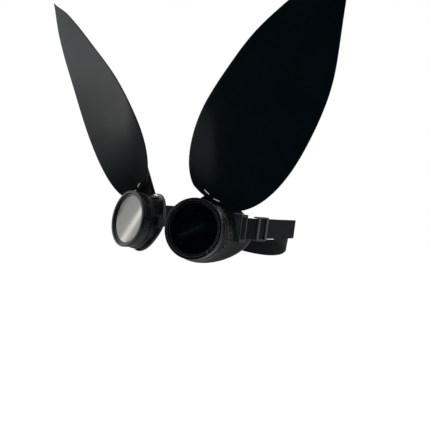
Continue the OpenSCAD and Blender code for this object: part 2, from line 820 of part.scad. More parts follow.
// Stations of the left half of the head strap, from the seam in the slide to the back
seam = turn_point(-layer_half) + strap_dir * (seam_at + seam_gap);
seam_point = from_lug([seam.x, seam.y, 0]);
oval = turn_point(-layer_half) + strap_dir * (seam_at + head_straight);
oval_point = from_lug([oval.x, oval.y, 0]);
head_half = concat([seam_point], [for (k = [0 : head_stations])
    let (u = 90 * k / head_stations)
    [
        oval_point.x * cos(u),
        oval_point.y + (head_depth - oval_point.y) * sin(u),
        oval_point.z - head_drop * pow(sin(u), head_drop_share)
    ]
]);
head_path = concat(
    head_half,
    [for (k = [len(head_half) - 2 : -1 : 0]) [-head_half[k].x, head_half[k].y, head_half[k].z]]
);

module head_strap() {
    last = len(head_path) - 1;
    color(dark) polyhedron(
        points = [for (side = [0.5, -0.5]) for (i = [0 : last])
            let (
                raw = head_path[min(i + 1, last)] - head_path[max(i - 1, 0)],
                dir = raw / norm(raw),
                flat = norm([raw.x, raw.y]),
                level = [raw.y, -raw.x, 0] / flat,
                steep = [-dir.z * raw.x, -dir.z * raw.y, flat * flat / norm(raw)] / flat,
                roll = head_roll * (1 - max(0, min(i, last - i) - 1) / head_stations),
                out = level * cos(roll) - steep * sin(roll),
                up = steep * cos(roll) + level * sin(roll)
            )
            for (k = [-0.5, 0.5]) head_path[i] + out * web_t * side + up * web_w * k
        ],
        faces = skin(last, 1, false)
    );
}

lens_ring(1);  // left_lens_ring
lens_ring(-1);  // right_lens_ring
lens(1);  // left_lens
lens(-1);  // right_lens
lens_gasket(1);  // left_lens_gasket
lens_gasket(-1);  // right_lens_gasket
eye_cup(1);  // left_eye_cup
eye_cup(-1);  // right_eye_cup
rim_seal(1);  // left_rim_seal
rim_seal(-1);  // right_rim_seal
nose_link();
bridge_pin(1);  // left_bridge_pin
bridge_pin(-1);  // right_bridge_pin
ear(1);  // left_ear
ear(-1);  // right_ear
ear_bracket(1);  // left_ear_bracket
ear_bracket(-1);  // right_ear_bracket
ear_staples(1);  // left_ear_staples
ear_staples(-1);  // right_ear_staples
ear_rivets(1);  // left_ear_rivets
ear_rivets(-1);  // right_ear_rivets
strap_end(1);  // left_strap_end
strap_end(-1);  // right_strap_end
strap_slide(1);  // left_strap_slide
strap_slide(-1);  // right_strap_slide
head_strap();
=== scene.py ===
import json

import bmesh
import bpy
import numpy as np
from mathutils import Matrix, Vector


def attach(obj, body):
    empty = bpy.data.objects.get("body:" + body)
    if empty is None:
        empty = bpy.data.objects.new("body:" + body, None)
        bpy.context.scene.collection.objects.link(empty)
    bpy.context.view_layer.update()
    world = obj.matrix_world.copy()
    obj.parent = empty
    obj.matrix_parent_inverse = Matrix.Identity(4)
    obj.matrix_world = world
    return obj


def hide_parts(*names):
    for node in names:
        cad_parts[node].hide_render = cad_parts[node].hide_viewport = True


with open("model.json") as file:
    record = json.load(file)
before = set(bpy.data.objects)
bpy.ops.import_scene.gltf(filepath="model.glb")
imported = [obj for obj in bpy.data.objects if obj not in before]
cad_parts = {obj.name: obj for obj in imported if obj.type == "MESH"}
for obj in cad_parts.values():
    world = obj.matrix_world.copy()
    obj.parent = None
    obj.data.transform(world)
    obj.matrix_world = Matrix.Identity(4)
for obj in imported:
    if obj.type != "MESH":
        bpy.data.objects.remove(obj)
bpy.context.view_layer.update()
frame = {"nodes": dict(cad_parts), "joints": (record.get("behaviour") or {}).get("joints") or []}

# Camera
# A 43.95 mm lens on a 36 mm sensor, in front of the goggles and to the wearer's left, looking a
# little upward. It was fitted to both ring faces, both ears and the strap slide.
camera_eye = Vector((0.33824, -0.39730, -0.01637))
camera_right = Vector((0.80907, 0.56159, 0.17331))
camera_up = Vector((-0.10573, -0.15099, 0.98287))
camera_back = Vector((0.57814, -0.81352, -0.06279))
focal_px = 525
picture_px = 430
sensor_mm = 36

camera = bpy.data.objects.new("camera", bpy.data.cameras.new("camera"))
camera.data.sensor_width = sensor_mm
camera.data.lens = sensor_mm * focal_px / picture_px
camera.data.clip_start = 0.01
turn = Matrix((camera_right, camera_up, camera_back)).transposed()
camera.matrix_world = Matrix.Translation(camera_eye) @ turn.to_4x4()
bpy.context.scene.collection.objects.link(camera)
bpy.context.scene.camera = camera
bpy.context.scene.view_settings.view_transform = "Standard"


# Studio
# A pale floor and a white surround, glowing cards mostly on the wearer's right and overhead, and
# black cards in front, below, beside and behind, which keep the gloss that faces them dark.
class Wire:
    """One value on its way through a material: an output socket whose sums and products add Math
    nodes."""

    def __init__(self, socket):
        self.socket = socket

    def node(self, kind, settings=None, **inputs):
        """Adds a node, sets its own settings first, then its sockets by name (spaces as _) or as i0, i1."""
        made = self.socket.id_data.nodes.new(kind)
        for name, value in (settings or {}).items():
            setattr(made, name, value)
        for name, value in inputs.items():
            key = int(name[1:]) if name[1:].isdigit() else name.replace("_", " ")
            join(value, made.inputs[key])
        return [Wire(s) for s in made.outputs if s.enabled]

    def math(self, operation, *others):
        values = {f"i{k}": v for k, v in enumerate((self, *others))}
        return self.node("ShaderNodeMath", {"operation": operation}, **values)[0]

    def blend(self, a, b):
        """Colour a where this value is 0 and b where it is 1."""
        return self.node("ShaderNodeMix", {"data_type": "RGBA"}, i0=self, i6=a, i7=b)[0]

    def __add__(self, other):
        return self.math("ADD", other)

    def __radd__(self, other):
        return self.math("ADD", other)

    def __sub__(self, other):
        return self.math("SUBTRACT", other)

    def __rsub__(self, other):
        return (self * -1).math("ADD", other)

    def __mul__(self, other):
        return self.math("MULTIPLY", other)

    def __rmul__(self, other):
        return self.math("MULTIPLY", other)


def join(value, socket):
    """Links a wire to a socket, or sets a number or colour on it."""
    if isinstance(value, Wire):
        socket.id_data.links.new(value.socket, socket)
    elif hasattr(value, "__len__") and len(value) == 3 and socket.type == "RGBA":
        socket.default_value = (*value, 1)
    else:
        socket.default_value = value


def finish_of(name, **settings):
    """A new material whose shader has these fixed settings. Gives the material, its shader node and its
    Object coordinates as a wire."""
    material = bpy.data.materials.new(name)
    material.use_nodes = True
    shader = material.node_tree.nodes["Principled BSDF"]
    for key, value in settings.items():
        join(value, shader.inputs[key.replace("_", " ")])
    place = material.node_tree.nodes.new("ShaderNodeTexCoord").outputs["Object"]
    return material, shader, Wire(place)


def bumped(shader, height, distance, strength=1.0):
    """Puts a height in metres onto a shader's normal."""
    normal = height.node("ShaderNodeBump", Strength=strength, Distance=distance, Height=height)[0]
    join(normal, shader.inputs["Normal"])


def card(name, centre, along, up, half_w, half_h, glow, tint=(1, 1, 1)):
    """A flat studio card: a rectangle about its centre that glows on both sides, and is black where its
    glow is 0. Only reflections see a card whose glow is 1 or less."""
    a, b = np.array(along) * half_w, np.array(up) * half_h
    corners = np.array(centre) + np.array([-a - b, a - b, a + b, b - a])
    mesh = bpy.data.meshes.new(name)
    mesh.from_pydata(corners.tolist(), [], [(0, 1, 2, 3)])
    obj = bpy.data.objects.new(name, mesh)
    bpy.context.scene.collection.objects.link(obj)
    material = finish_of(name, Base_Color=(0, 0, 0), Roughness=0.9, Specular_IOR_Level=0.0,
                         Emission_Color=tint, Emission_Strength=glow)[0]
    mesh.materials.append(material)
    obj.visible_camera = False
    obj.visible_shadow = obj.visible_diffuse = glow > 1


surround_light = 0.8
floor_drop = 0.30
floor_half = 6.0
floor_glow = 0.6

world = bpy.data.worlds.new("surround")
bpy.context.scene.world = world
world.use_nodes = True
ground = world.node_tree.nodes["Background"]
ground.inputs["Color"].default_value = (1, 1, 1, 1)
seen = Wire(world.node_tree.nodes.new("ShaderNodeLightPath").outputs["Is Camera Ray"])
rays = seen.socket.node.outputs
shown = (seen + Wire(rays["Is Glossy Ray"]) + Wire(rays["Is Transmission Ray"])).math("MINIMUM", 1.0)
join(shown * (1 - surround_light) + surround_light, ground.inputs["Strength"])

lean_up, lean_side = (0, -0.383, 0.924), (0, 0.924, 0.383)
card("side_box", (-1.0, -0.30, 0.40), (0, 1, 0), (0, 0, 1), 0.55, 0.35, 1.05, (0.93, 1, 1))
card("side_wash", (-1.0, -0.30, -0.06), (0, 1, 0), (0, 0, 1), 0.55, 0.11, 0.35, (0.93, 1, 1))
card("side_fill", (-0.99, -0.350, 0.0), lean_side, lean_up, 0.065, 0.13, 2.0, (1, 1, 0.94))
card("side_strip", (-0.98, -0.333, 0.004), lean_side, lean_up, 0.0065, 0.14, 6.0, (1, 0.99, 0.93))
card("top_box", (0.1, -0.2, 1.2), (1, 0, 0), (0, 1, 0), 0.45, 0.40, 2.0)
card("front_screen", (0.55, -0.80, 0.0), (1, 0, 0), (0, 0, 1), 0.75, 0.6, 0)
card("low_screen", (0.35, -0.52, -0.295), (1, 0, 0), (0, 1, 0), 0.52, 0.38, 0)
card("low_fill", (0.27, -0.22, -0.285), (1, 0, 0), (0, 1, 0), 0.09, 0.09, 1.0)
card("side_screen", (-0.96, -0.3, -0.24), (0, 1, 0), (0, 0, 1), 0.7, 0.07, 0)
card("side_low_screen", (-0.60, -0.05, -0.295), (1, 0, 0), (0, 1, 0), 0.36, 0.4, 0)
card("high_screen", (0.55, 0.65, 0.8), (1, 0, 0), (0, 1, 0), 0.85, 0.65, 0)
card("lens_streak", (-0.101, -0.79, 0.018), (0.83, 0, 0.557), (-0.557, 0, 0.83), 0.034, 0.0011, 0.3,
     (0.2, 1, 0.9))

mesh = bpy.data.meshes.new("floor")
mesh.from_pydata([(x, y, -floor_drop) for x, y in
                  ((-floor_half, -floor_half), (floor_half, -floor_half),
                   (floor_half, floor_half), (-floor_half, floor_half))], [], [(0, 1, 2, 3)])
floor = bpy.data.objects.new("floor", mesh)
bpy.context.scene.collection.objects.link(floor)
floor_paint, shader = finish_of("floor_paint", Base_Color=(0.78, 0.78, 0.78), Roughness=0.9,
                                Emission_Color=(1, 1, 1))[:2]
ray = Wire(floor_paint.node_tree.nodes.new("ShaderNodeLightPath").outputs["Is Camera Ray"])
join(ray * floor_glow, shader.inputs["Emission Strength"])
mesh.materials.append(floor_paint)


# Cup frames
# Every piece of a side is laid out from its ring's centre: out towards the temple, back along
# the cup's axis, and up. The ring's joint in the frame gives that centre and axis.
sides = {"left": 1, "right": -1}
joints = {j["name"]: j for j in frame["joints"]}
up = np.array((0.0, 0.0, 1.0))


def cup_place(side):
    """A side's ring centre, and its out, back and up directions as rows."""
    turn_joint = joints[side + "_ring_turn"]
    back = -np.array(turn_joint["axis"])
    out = sides[side] * np.cross(back, up)
    return np.array(turn_joint["pos_m"]), np.array((out, back, up))


def in_cup(side, points):
    """Points given as (out, back, up) from a ring's centre, in the row frame."""
    centre, axes = cup_place(side)
    return centre + np.asarray(points) @ axes


def mesh_of(name, patches, material, smooth_deg=35):
    """One mesh from patches of (points, faces): doubles merged, faces turned outwards, and edges sharp
    past an angle."""
    mesh = bpy.data.meshes.new(name)
    work = bmesh.new()
    for points, faces in patches:
        corners = [work.verts.new(p) for p in points]
        for face in faces:
            work.faces.new([corners[k] for k in face])
    bmesh.ops.remove_doubles(work, verts=work.verts, dist=1e-6)
    bmesh.ops.recalc_face_normals(work, faces=work.faces)
    work.to_mesh(mesh)
    work.free()
    mesh.shade_smooth()
    mesh.set_sharp_from_angle(angle=np.radians(smooth_deg))
    mesh.materials.append(material)
    obj = bpy.data.objects.new(name, mesh)
    bpy.context.scene.collection.objects.link(obj)
    return obj


def skin(grid, loop=True):
    """A patch over a grid of points [i, j]: j always runs round a closed section, and i runs along it,
    closed too where loop is true, and otherwise capped at both ends."""
    rows, cols = grid.shape[:2]
    i, j = np.meshgrid(np.arange(rows if loop else rows - 1), np.arange(cols), indexing="ij")
    a = i * cols + j
    b = i * cols + (j + 1) % cols
    c = (i + 1) % rows * cols + (j + 1) % cols
    d = (i + 1) % rows * cols + j
    faces = np.stack((a, b, c, d), -1).reshape(-1, 4).tolist()
    if not loop:
        faces += [list(range(cols))[::-1], list(range((rows - 1) * cols, rows * cols))]
    return grid.reshape(-1, 3), faces


def mount(obj, body, slot, *nodes):
    """Rides a piece on its body, in place of the nodes that it stands for."""
    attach(obj, body)
    if nodes:
        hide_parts(*nodes)
    return obj


def turned(profile, angles):
    """A profile of (radius, depth) points turned about the cup's axis: grid [angle, profile point]."""
    radius, depth = np.asarray(profile).T
    a = np.asarray(angles)[:, None]
    return np.stack((radius * np.cos(a), np.broadcast_to(depth, (len(angles), len(depth))),
                     radius * np.sin(a)), -1)


# Lens rings
# Turned rings of gloss black plastic that screw over the cups. From the front: a rounded face
# bead, a groove, a second lip, a knurled grip and a plain rear edge; an inner lip holds the lens.
ring_r = 0.029
ring_side_r = 0.0282
ring_bore_r = 0.0263
mouth_r = 0.0262
mouth_depth = 0.0015
lip_r = 0.0243
lip_back = 0.0023
ring_len = 0.012
face_bead_len = 0.0015
second_lip_r, second_lip_from, second_lip_to = 0.0289, 0.0027, 0.0035
rear_edge_r, rear_edge_from = 0.0285, 0.0112
shoulder = 0.0002
grip_from, grip_to = 0.0040, 0.0107
grip_end = 0.0004
grip_count = 120
grip_depth = 0.0003
grip_valley = 0.35
grip_steps = 6
# Where outward bends start to be painted lighter, and how steeply: a painted edge highlight.
highlight_from, highlight_rise = 0.515, 25


def rounded(corners, radius, steps=5, closed=True):
    """An outline with each corner turned into a short curve that blends its two edges, at most radius
    back along either and never past its middle."""
    c = np.asarray(corners, float)
    before, after = np.roll(c, 1, 0) - c, np.roll(c, -1, 0) - c
    if not closed:
        before[0], after[-1] = after[0] * 1e-6, before[-1] * 1e-6
    a, b = np.linalg.norm(before, axis=1), np.linalg.norm(after, axis=1)
    cut = np.minimum(radius, 0.45 * np.minimum(a, b))[:, None]
    start, end = c + before / a[:, None] * cut, c + after / b[:, None] * cut
    t = np.linspace(0, 1, steps)[None, :, None]
    curve = (1 - t) ** 2 * start[:, None] + 2 * t * (1 - t) * c[:, None] + t ** 2 * end[:, None]
    return curve.reshape(-1, c.shape[1])


ring_corners = [
    (mouth_r, 0), (ring_r, 0), (ring_r, face_bead_len), (ring_side_r, face_bead_len + shoulder),
    (ring_side_r, second_lip_from - shoulder / 2), (second_lip_r, second_lip_from),
    (second_lip_r, second_lip_to), (ring_side_r, second_lip_to + shoulder), (ring_side_r, grip_from),
    (ring_side_r, grip_from + grip_end), (ring_side_r, grip_to - grip_end), (ring_side_r, grip_to),
    (ring_side_r, rear_edge_from - shoulder), (rear_edge_r, rear_edge_from), (rear_edge_r, ring_len),
    (ring_bore_r, ring_len), (ring_bore_r, lip_back), (lip_r, lip_back), (lip_r, mouth_depth),
    (mouth_r, mouth_depth),
]
ring_rounding = np.array([5, 7, 4, 2, 2, 3, 3, 2, 2, 2, 2, 2, 2, 2, 3, 3, 2, 2, 3, 2]) * 1e-4


def edge_highlight(place, breakup):
    """How far an edge is painted lighter, a painted highlight: 0 on flat faces, rising with how far the
    surface bends outward there, and broken up by a noise."""
    bend = place.node("ShaderNodeNewGeometry")[7]
    return ((bend - highlight_from) * highlight_rise * (breakup + 0.5)).math("MAXIMUM", 0.0).math("MINIMUM", 1.0)


ring_plastic, shader, place = finish_of("ring_plastic", IOR=1.5, Specular_IOR_Level=0.35)
smudge = place.node("ShaderNodeTexNoise", Vector=place, Scale=140.0, Detail=3.0)[0]
scuff = place.node("ShaderNodeTexNoise", Vector=place, Scale=900.0, Detail=2.0)[0]
edge_light = edge_highlight(place, smudge)
# Edges that bend outward are painted lighter than the black faces: a painted highlight along the ring's
# edges.
join(edge_light.blend((0.0010, 0.0018, 0.0023), (0.050, 0.056, 0.058)), shader.inputs["Base Color"])
join(smudge * 0.14 + 0.1 + edge_light * 0.2, shader.inputs["Roughness"])
bumped(shader, scuff * 0.6 + smudge * 0.4, 0.00004, 0.25)

for side in sides:
    angles = np.linspace(0, 2 * np.pi, grip_count * grip_steps, endpoint=False)
    grid = turned(rounded(ring_corners, ring_rounding), angles)
    ridge = 0.5 - 0.5 * np.cos(grip_count * angles)
    outside = np.hypot(grid[..., 0], grid[..., 2]) > ring_bore_r + 0.0005
    inside_grip = (grid[..., 1] > grip_from + 1e-5) & (grid[..., 1] < grip_to - 1e-5) & outside
    swell = 1 + np.where(inside_grip, (ridge[:, None] - grip_valley) * grip_depth / ring_side_r, 0)
    grid = grid * np.stack((swell, np.ones_like(swell), swell), -1)
    ring = mesh_of(side + "_screw_ring", [skin(in_cup(side, grid))], ring_plastic)
    mount(ring, side + "_ring", "ring_plastic", side + "_lens_ring")


# Lenses and gaskets
# Flat 50 mm discs of very dark green-black glass, with a rubber washer behind each. Their CAD
# solids have the right shape, and only get their glass and rubber.
def dress(node, material):
    """Gives a CAD node a finish."""
    frame["nodes"][node].data.materials.clear()
    frame["nodes"][node].data.materials.append(material)


lens_glass, shader, place = finish_of("lens_glass", Base_Color=(0.0003, 0.0014, 0.0016), IOR=1.52,
                                      Specular_IOR_Level=1.0)
haze = place.node("ShaderNodeTexNoise", Vector=place, Scale=55.0, Detail=4.0)[0]
join(haze * 0.05 + 0.03, shader.inputs["Roughness"])

washer_rubber, shader, place = finish_of("washer_rubber", Base_Color=(0.02, 0.02, 0.02), Roughness=0.8)
grain = place.node("ShaderNodeTexNoise", Vector=place, Scale=1500.0)[0]
bumped(shader, grain, 0.00005)

for side in sides:
    dress(side + "_lens", lens_glass)
    dress(side + "_lens_gasket", washer_rubber)


# Eye cups
# Moulded black plastic: a spigot and bead behind the ring, then a wall that flares to an oval
# rim, deeper at the temple. A raised panel with small round vents sits on the temple side.
flare_r = 0.0282
wall = 0.002
rim_temple, rim_nose, rim_half_h, rim_low_h = 0.043, 0.028, 0.0325, 0.0304
rim_temple_depth, rim_brow_depth, rim_nose_depth, rim_cheek_depth = 0.0425, 0.036, 0.0245, 0.0185
bead_from, bead_to, bead_r = 0.0123, 0.0143, 0.029
flare_from = bead_to - 0.0006
flare_curve = 1.6
rim_a, rim_shift = (rim_temple + rim_nose) / 2, (rim_temple - rim_nose) / 2
rim_tilt = rim_temple_depth - rim_brow_depth
nose_cut = rim_brow_depth - rim_tilt - rim_nose_depth
cheek_cut, cheek_lean, cheek_curve = rim_brow_depth - rim_cheek_depth, 0.008, 1.2
panel_from, panel_to, panel_angle, panel_h = 0.08, 0.47, np.radians(44), 0.0008
panel_edge, panel_round, panel_swell = 0.13, 2.5, 1.08
vent_r, vent_depth, vent_soft = 0.00105, 0.0016, 0.00035
vent_step = np.radians(17)
vent_rows = ((0.15, 4), (0.235, 3), (0.32, 4))
wall_run = 0.031
spigot_from, spigot_r, spigot_bore_r, bead_rear_r = 0.00705, 0.0262, 0.0226, 0.0256
fine_steps, coarse_every, fine_margin, fine_until = 1200, 5, 1.15, 0.55


def flare_point(t, angle, inset=0.0):
    """A point of the flare in its cup's frame: t runs from its front to its rim, angle from the temple
    upward, and inset goes in from its outer face. Its oval grows with t to a power, and its rim is cut
    back at the nose and at the cheek."""
    s = t ** flare_curve
    nasal, low = np.minimum(np.cos(angle), 0) ** 2, np.maximum(-np.sin(angle), 0) ** cheek_curve
    a = flare_r + (rim_a - flare_r) * s - inset
    b = flare_r + (np.where(np.sin(angle) < 0, rim_low_h, rim_half_h) - flare_r) * s - inset
    rim_y = rim_brow_depth + rim_tilt * np.cos(angle) - nose_cut * nasal - cheek_cut * low
    return np.stack(((rim_shift - cheek_lean * low) * s + a * np.cos(angle),
                     flare_from + (rim_y - flare_from) * t, b * np.sin(angle)), -1)


def eased(x):
    """0 below 0, 1 above 1 and a smooth rise between."""
    x = np.clip(x, 0, 1)
    return x * x * (3 - 2 * x)


def cup_relief(t, angle):
    """Height of the outer wall over the plain flare: the panel is a superellipse with an eased edge, and
    each vent is a round pit in it."""
    x = 2 * (t - panel_from) / (panel_to - panel_from) - 1
    reach = (np.abs(x) ** panel_round + np.abs(angle / panel_angle) ** panel_round) ** (1 / panel_round)
    height = panel_h * eased((1 - reach) / panel_edge)
    for row, count in vent_rows:
        for k in range(count):
            off = (k - (count - 1) / 2) * vent_step
            gap = np.hypot((t - row) * wall_run, (angle - off) * flare_r * panel_swell)
            height = height - vent_depth * eased((vent_r - gap) / vent_soft + 0.5)
    return height


cup_plastic, shader, place = finish_of("cup_plastic", IOR=1.5, Specular_IOR_Level=0.3)
cloud = place.node("ShaderNodeTexNoise", Vector=place, Scale=90.0, Detail=4.0)[0]
moulding = place.node("ShaderNodeTexNoise", Vector=place, Scale=1400.0, Detail=2.0)[0]
edge_light = edge_highlight(place, cloud)
# A random mottle, and edges that bend outward painted lighter as a painted highlight.
mottle_and_edge_light = (cloud * 0.06 + edge_light * 0.94).math("MINIMUM", 1.0)
join(cloud * 0.2 + 0.22, shader.inputs["Roughness"])
join(mottle_and_edge_light.blend((0.0006, 0.0014, 0.0020), (0.028, 0.034, 0.037)), shader.inputs["Base Color"])
bumped(shader, moulding * 0.7 + cloud * 0.3, 0.00006, 0.5)

fine = np.linspace(-np.pi, np.pi, fine_steps, endpoint=False)
keep = (np.abs(fine) < panel_angle * fine_margin) | (np.arange(fine_steps) % coarse_every == 0)
wall_angles = fine[keep]
wall_t = np.unique(np.concatenate((np.linspace(0, fine_until, 90), np.linspace(fine_until, 1, 26))))
front_corners = [
    (spigot_bore_r, spigot_from), (spigot_r, spigot_from), (spigot_r, bead_from), (bead_r, bead_from),
    (bead_r, bead_to), (bead_rear_r, bead_to), (spigot_bore_r, bead_from),
]

for side in sides:
    t, angle = np.meshgrid(wall_t, wall_angles, indexing="ij")
    outer = flare_point(t, angle, -cup_relief(t, angle))
    inner_t, inner_angle = np.meshgrid(np.linspace(1, 0, 24), wall_angles, indexing="ij")
    inner = flare_point(inner_t, inner_angle, wall)
    shell = skin(in_cup(side, np.concatenate((outer, inner))))
    round_angles = np.linspace(0, 2 * np.pi, 240, endpoint=False)
    front = skin(in_cup(side, turned(rounded(front_corners, 0.0004), round_angles)))
    cup = mesh_of(side + "_moulded_cup", [shell, front], cup_plastic, 40)
    mount(cup, side + "_cup", "cup_plastic", side + "_eye_cup")


# Bridge prongs and strap lugs
# Both are moulded onto the cups: two flat prongs hold the bridge pin, and at the temple a sloping
# front bar and two plain ones between two rails leave two slots for the webbing.
pin_out, pin_back = 0.0325, 0.020
boss_r = 0.0026
prong_root, prong_lead = 0.0264, 0.004
link_h, bridge_rise = 0.0075, 0.00175
prong_t, prong_gap = 0.0019, 0.00015
lug_at = np.array((0.0386, 0.0290, 0.0088))
lug_turn = np.radians(35.6)
strap_rise = np.radians(7.5)
bar_w, slot_w, flange_t, bar_drop = 0.0016, 0.0015, 0.0018, 0.0006
rail_h, rail_depth, rail_end = 0.0025, 0.013, 0.2
skirt_t, skirt_lead, skirt_fall = 0.0008, 0.0018, 0.0042
web_w, web_t = 0.020, 0.0012
lug_half = bar_w * 1.5 + slot_w
lug_in_half = web_w / 2 + 0.0006


def in_lug(points):
    """Points given as (out, along the strap, across it) from the lug's middle, in the cup's frame."""
    x, y, z = np.moveaxis(np.asarray(points, float), -1, 0)
    c, s = np.cos(strap_rise), np.sin(strap_rise)
    return lug_at + np.stack((x, y * c - z * s, y * s + z * c), -1)


def in_flange(points):
    """Points given as (v outward from the flange, u along it, across) in the lug's frame."""
    v, u, z = np.moveaxis(np.asarray(points, float), -1, 0)
    c, s = np.cos(lug_turn), np.sin(lug_turn)
    return np.stack((u * s + v * c, u * c - v * s, z), -1)


def prism(outline, low, high):
    """A straight prism over an outline in x and y, from low to high in z, as a grid for skin()."""
    xy = np.asarray(outline, float)
    return np.stack([np.column_stack((xy, np.full(len(xy), z))) for z in (low, high)])


def softened(obj, width):
    """Rounds every sharp edge of a piece."""
    bevel = obj.modifiers.new("edges", "BEVEL")
    bevel.width, bevel.segments, bevel.limit_method = width, 3, "ANGLE"
    bevel.angle_limit, bevel.harden_normals = np.radians(30), True
    return obj


def box_outline(x0, x1, y0, y1):
    """The corners of a rectangle, in order."""
    return [(x0, y0), (x1, y0), (x1, y1), (x0, y1)]


for side in sides:
    arc = np.linspace(-np.pi / 2, np.pi / 2, 15)
    nose_end = np.column_stack((-pin_out - boss_r * np.cos(arc), pin_back - boss_r * np.sin(arc)))
    prong_outline = np.concatenate((nose_end, [(-prong_root, pin_back - prong_lead),
                                               (-prong_root, pin_back + boss_r)]))
    patches = []
    for low in (bridge_rise + link_h / 2 + prong_gap, bridge_rise - link_h / 2 - prong_gap - prong_t):
        patches.append(skin(in_cup(side, prism(prong_outline, low, low + prong_t)), loop=False))
    prongs = mesh_of(side + "_bridge_prongs", patches, cup_plastic)
    softened(prongs, 0.0003)
    mount(prongs, side + "_cup", "cup_plastic", side + "_eye_cup")

    skirt = [(0, 0), (0, bar_w), (-rail_depth, skirt_t), (-rail_depth, -skirt_lead),
             (-skirt_fall, -skirt_lead)]
    bar = prism(np.array(skirt) + (flange_t / 2, -lug_half), -lug_in_half - rail_h, lug_in_half + rail_h)
    patches = [skin(in_cup(side, in_lug(in_flange(bar))), loop=False)]
    for k in (0, 1):
        face = flange_t / 2 - (bar_drop if k == 0 else 0)
        outline = box_outline(-flange_t / 2, face, k * (bar_w + slot_w) - bar_w / 2,
                              k * (bar_w + slot_w) + bar_w / 2)
        bar = prism(outline, -lug_in_half - rail_h / 2, lug_in_half + rail_h / 2)
        patches.append(skin(in_cup(side, in_lug(in_flange(bar))), loop=False))
    for low in (-lug_in_half - rail_h, lug_in_half):
        outline = np.array([(0, -lug_half), (0, lug_half), (-flange_t, lug_half),
                            (-rail_depth, lug_half * rail_end), (-rail_depth, -lug_half)])
        rail = prism(outline + (flange_t / 2, 0), low, low + rail_h)
        patches.append(skin(in_cup(side, in_lug(in_flange(rail))), loop=False))
    lug = mesh_of(side + "_strap_lug", patches, cup_plastic)
    softened(lug, 0.0004)
    mount(lug, side + "_cup", "cup_plastic", side + "_eye_cup")


# Rim seals
# Soft black edging pressed onto the rear rims, where the goggles meet the face.
seal_w, seal_swell, seal_gap, seal_round, seal_steps = 0.0032, 0.0005, 0.00002, 0.0009, 300

edge_soft, shader, place = finish_of("edge_soft", Base_Color=(0.016, 0.018, 0.019))
skin_grain = place.node("ShaderNodeTexNoise", Vector=place, Scale=1100.0, Detail=3.0)[0]
join(skin_grain * 0.15 + 0.45, shader.inputs["Roughness"])
bumped(shader, skin_grain, 0.00006, 0.6)

seal_corners = np.array([
    (0, seal_gap), (seal_swell, seal_round), (seal_swell, seal_w - seal_round), (0, seal_w),
    (-wall, seal_w), (-wall - seal_swell, seal_w - seal_round), (-wall - seal_swell, seal_round),
    (-wall, seal_gap),
])
seal_section = rounded(seal_corners, np.array([1, 5, 8, 8, 8, 8, 5, 1]) * 1e-4, 4)

for side in sides:
    angles = np.linspace(0, 2 * np.pi, seal_steps, endpoint=False)
    reach, depth = seal_section[:, :1], seal_section[:, 1:]
    shape = (len(seal_section), seal_steps)
    grid = flare_point(np.ones(shape), np.broadcast_to(angles, shape), -reach)
    grid[..., 1] += depth
    seal = mesh_of(side + "_soft_edge", [skin(in_cup(side, grid))], edge_soft)
    mount(seal, side + "_cup", "soft_edge", side + "_rim_seal")


# Bridge link and pins
# A short rubber link with an eye at each end, held by headed and blackened steel pins.
bridge_rubber, shader, place = finish_of("bridge_rubber", Base_Color=(0.010, 0.012, 0.0125), Roughness=0.7)
grain = place.node("ShaderNodeTexNoise", Vector=place, Scale=900.0, Detail=3.0)[0]
bumped(shader, grain, 0.00008, 0.5)

pin_steel, shader, place = finish_of("pin_steel", Base_Color=(0.03, 0.03, 0.03), Metallic=0.7)
brushing = place.node("ShaderNodeTexNoise", Vector=place, Scale=2600.0, Detail=2.0)[0]
join(brushing * 0.2 + 0.14, shader.inputs["Roughness"])
bumped(shader, brushing, 0.00003, 0.4)


def copy_of(node, name, material, edge=0.0):
    """A merged copy of a CAD node's mesh, with flat faces joined up and its sharp edges rounded."""
    work = bmesh.new()
    work.from_mesh(frame["nodes"][node].data)
    bmesh.ops.remove_doubles(work, verts=work.verts, dist=2e-6)
    bmesh.ops.dissolve_limit(work, angle_limit=np.radians(1.5), verts=work.verts, edges=work.edges)
    mesh = bpy.data.meshes.new(name)
    work.to_mesh(mesh)
    work.free()
    mesh.shade_smooth()
    mesh.set_sharp_from_angle(angle=np.radians(30))
    mesh.materials.append(material)
    obj = bpy.data.objects.new(name, mesh)
    bpy.context.scene.collection.objects.link(obj)
    if edge:
        softened(obj, edge)
    return obj


link = copy_of("nose_link", "bridge_link", bridge_rubber, 0.0003)
mount(link, "bridge", "rubber", "nose_link")
for side in sides:
    dress(side + "_bridge_pin", pin_steel)


# Ears
# Leaf-shaped sheets of black satin leathercloth, stiff enough to stand, with a long soft fold
# on the nose side. Their edges are cut.
ear_len, ear_w, ear_t = 0.250, 0.0996, 0.0014
ear_pitch, ear_lean = np.radians(22), np.radians(28.6)
ear_at = np.array((0.0058, 0.0135, 0.0267))
ear_root, ear_tip = 0.45, 1.02
ear_peak = ear_root / (ear_root + ear_tip)
ear_from, ear_to = 0.012, 0.998
fold_a, fold_b = np.array((0.013, -0.001)), np.array((0.062, -0.030))
fold_low, fold_high, fold_soft = 0.008, 0.078, 0.006
fold_rise = {"left": 0.11, "right": 0.04}
belly_at, belly_run = 0.148, 0.030
tip_from, tip_run = 0.110, 0.110
crown_from, crown_run = 0.152, 0.070
crown_half = 0.013
ear_rows, ear_cols, ear_crowding = 160, 41, 1.5
root_run, root_cut = 0.003, 0.9
ear_hang = {"left": (0.0017, -0.0032, -0.0024), "right": (-0.0006, 0.0034, 0.0034)}


def ear_half(s):
    """Half width of the ear at a share of its length: one power rises from the root and another falls
    to the tip."""
    return ear_w / 2 * (s / ear_peak) ** ear_root * ((1 - s) / (1 - ear_peak)) ** ear_tip


